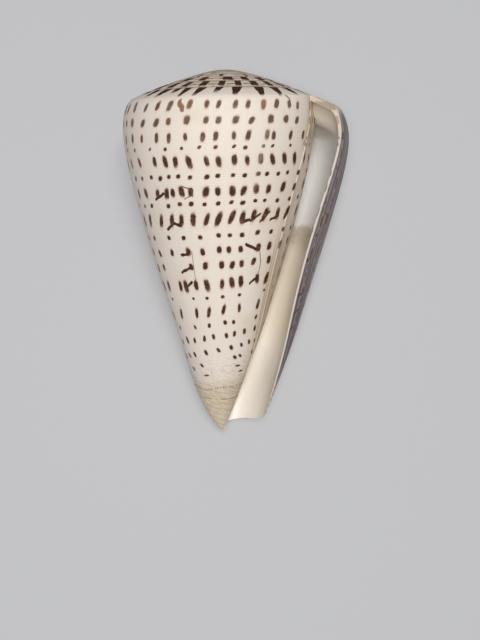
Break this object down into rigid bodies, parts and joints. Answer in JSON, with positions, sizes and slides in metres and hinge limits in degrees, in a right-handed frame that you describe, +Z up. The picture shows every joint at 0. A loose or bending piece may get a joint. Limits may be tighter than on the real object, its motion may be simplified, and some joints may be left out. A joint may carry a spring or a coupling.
{
  "type": "cone shell",
  "caption": "Large leopard cone shell lying on its back: a tall cone with a low domed spire, a long narrow mouth with a thin lip, and rows of dark spots.",
  "frame": {"origin": "middle of the footprint, on the ground plane the shell lies on", "axes": "+Z up; +Y toward the spire, along the shell's length; +X toward the lip, so the mouth opens up and to the right"},
  "size_m": [0.071, 0.1168, 0.0655],
  "materials": {
    "shell": "smooth cream-white calcium carbonate with a soft gloss and rows of dark brown spots"
  },
  "bodies": {
    "root": {"shell": "shell"}
  },
  "joints": []
}
